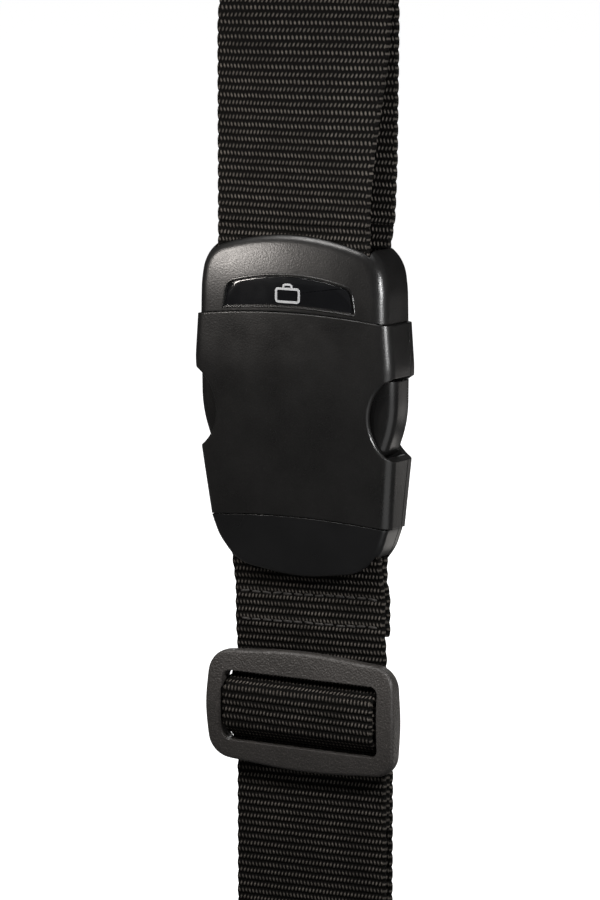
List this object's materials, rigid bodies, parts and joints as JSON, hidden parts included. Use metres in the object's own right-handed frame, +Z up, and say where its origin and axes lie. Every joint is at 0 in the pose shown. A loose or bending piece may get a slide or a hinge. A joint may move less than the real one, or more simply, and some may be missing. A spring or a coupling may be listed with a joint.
{
  "type": "luggage strap",
  "caption": "Webbing luggage strap closed in a loop, with a side-release buckle of plug and socket, a clip-on end cover and a webbing slider",
  "frame": {"origin": "centre of the buckle's flat back face, where the strap bears on the suitcase", "axes": "+X across the webbing, to the right seen from the front; +Y into the suitcase, away from the viewer; +Z up along the webbing"},
  "size_m": [0.067, 0.2837, 0.4555],
  "materials": {
    "webbing": "black ribbed webbing with a warm grey thread glint",
    "thread": "dark grey sewing thread",
    "buckle_plastic": "matte black plastic with a fine moulded grain",
    "cover_plastic": "smoother satin black plastic",
    "latch_plastic": "polished black plastic",
    "badge_gloss": "glossy black plate, no mark",
    "slider_plastic": "matte charcoal plastic with a coarse sparkling grain"
  },
  "bodies": {
    "strap": {"socket_body": "buckle_plastic", "socket_end_cover": "cover_plastic", "socket_fold_stitching": "thread", "outer_webbing": "webbing", "inner_webbing": "webbing", "upper_outer_run": "webbing", "upper_inner_run": "webbing", "inner_lower_run": "webbing"},
    "plug": {"plug_head": "buckle_plastic", "badge_plate": "badge_gloss", "plug_webbing_loop": "webbing"},
    "left_latch": {"left_latch_arm": "latch_plastic"},
    "right_latch": {"right_latch_arm": "latch_plastic"},
    "slider": {"slider_frame": "slider_plastic", "slider_crossing_webbing": "webbing", "slider_bar_wrap": "webbing", "dead_end_fold": "webbing", "dead_end_stitching": "thread"}
  },
  "joints": [
    {"name": "plug_slide", "type": "slide", "parent": "strap", "child": "plug", "axis": [0, 0, 1], "range_m": [0, 0.045], "deforming": ["left_latch_arm", "right_latch_arm", "upper_outer_run", "upper_inner_run"]},
    {"name": "left_latch_press", "type": "hinge", "parent": "plug", "child": "left_latch", "pos_m": [-0.024, -0.0072, 0.0276], "axis": [0, -1, 0], "range_deg": [0, 8], "stiffness_Nm_per_rad": 4},
    {"name": "right_latch_press", "type": "hinge", "parent": "plug", "child": "right_latch", "pos_m": [0.024, -0.0072, 0.0276], "axis": [0, 1, 0], "range_deg": [0, 8], "stiffness_Nm_per_rad": 4},
    {"name": "slider_slide", "type": "slide", "parent": "strap", "child": "slider", "axis": [0, 0, -1], "range_m": [0, 0.05], "deforming": ["inner_lower_run"]}
  ]
}
